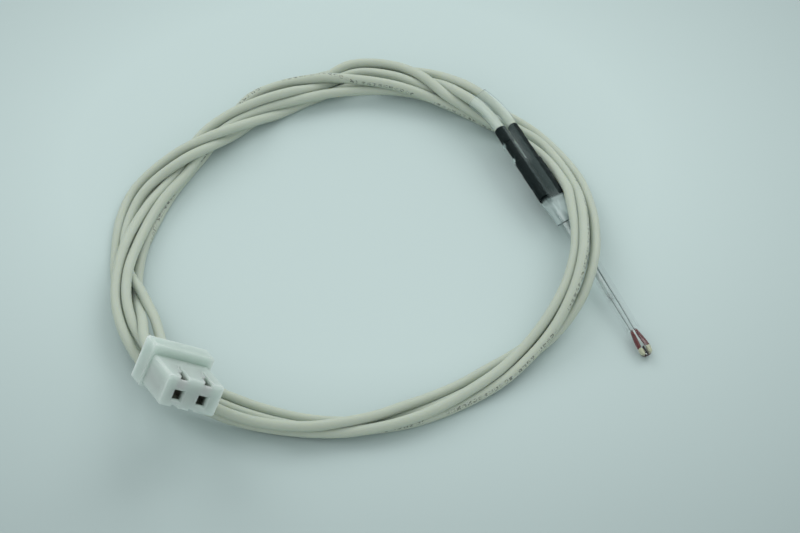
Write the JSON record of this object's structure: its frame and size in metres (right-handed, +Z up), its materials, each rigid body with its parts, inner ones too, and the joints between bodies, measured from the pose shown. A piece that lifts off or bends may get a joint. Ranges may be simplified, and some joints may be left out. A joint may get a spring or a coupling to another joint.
{
  "type": "thermistor",
  "caption": "Glass bead thermistor on thin leads in a clear probe tube, with black splice sleeves and coiled ivory lead wires that end in a crimp connector.",
  "frame": {"origin": "on the table, under the middle of the box round the pieces that aren't cord", "axes": "+Z up from the table, +Y towards the side where the wires enter the splice sleeve, +X towards the glass bead"},
  "size_m": [0.0531, 0.05, 0.0112],
  "materials": {
    "nylon": "translucent natural nylon, satin moulded",
    "tinned_metal": "tinned sheet, bright",
    "copper": "bare stranded conductor",
    "wire_plain": "ivory insulation, satin",
    "wire_marked": "ivory insulation with small dark marks, satin",
    "black_sleeve": "shrunk black sleeve, satin",
    "clear_film": "clear film sleeve, glossy",
    "lead_metal": "thin lead wire, red where the glass wets it",
    "bond_paste": "fired paste, matt cream",
    "chip_ceramic": "dark sintered ceramic, matt",
    "bead_glass": "clear glass, fire polished"
  },
  "bodies": {
    "root": {"connector_housing": "nylon", "crimp_contact_a": "tinned_metal", "crimp_contact_b": "tinned_metal", "plug_core_a": "copper", "plug_core_b": "copper", "wire_a_in_plug": "wire_plain", "wire_b_in_plug": "wire_marked", "wire_a_plug_end": "wire_plain", "wire_b_plug_end": "wire_marked", "wire_coil": "wire_plain", "wire_a_probe_end": "wire_plain", "wire_b_probe_end": "wire_marked", "wire_a_in_sleeve": "wire_plain", "wire_b_in_sleeve": "wire_marked", "splice_core_a": "copper", "splice_core_b": "copper", "splice_barrel_a": "tinned_metal", "splice_barrel_b": "tinned_metal", "shrink_long_a": "black_sleeve", "shrink_long_b": "black_sleeve", "shrink_short_a": "black_sleeve", "shrink_short_b": "black_sleeve", "shrink_collar_a": "black_sleeve", "clear_sleeve": "clear_film", "probe_tube": "clear_film", "lead_liner": "clear_film", "lead_a": "lead_metal", "lead_b": "lead_metal", "chip_bond_a": "bond_paste", "chip_bond_b": "bond_paste", "sensor_chip": "chip_ceramic", "glass_bead": "bead_glass"}
  },
  "joints": []
}
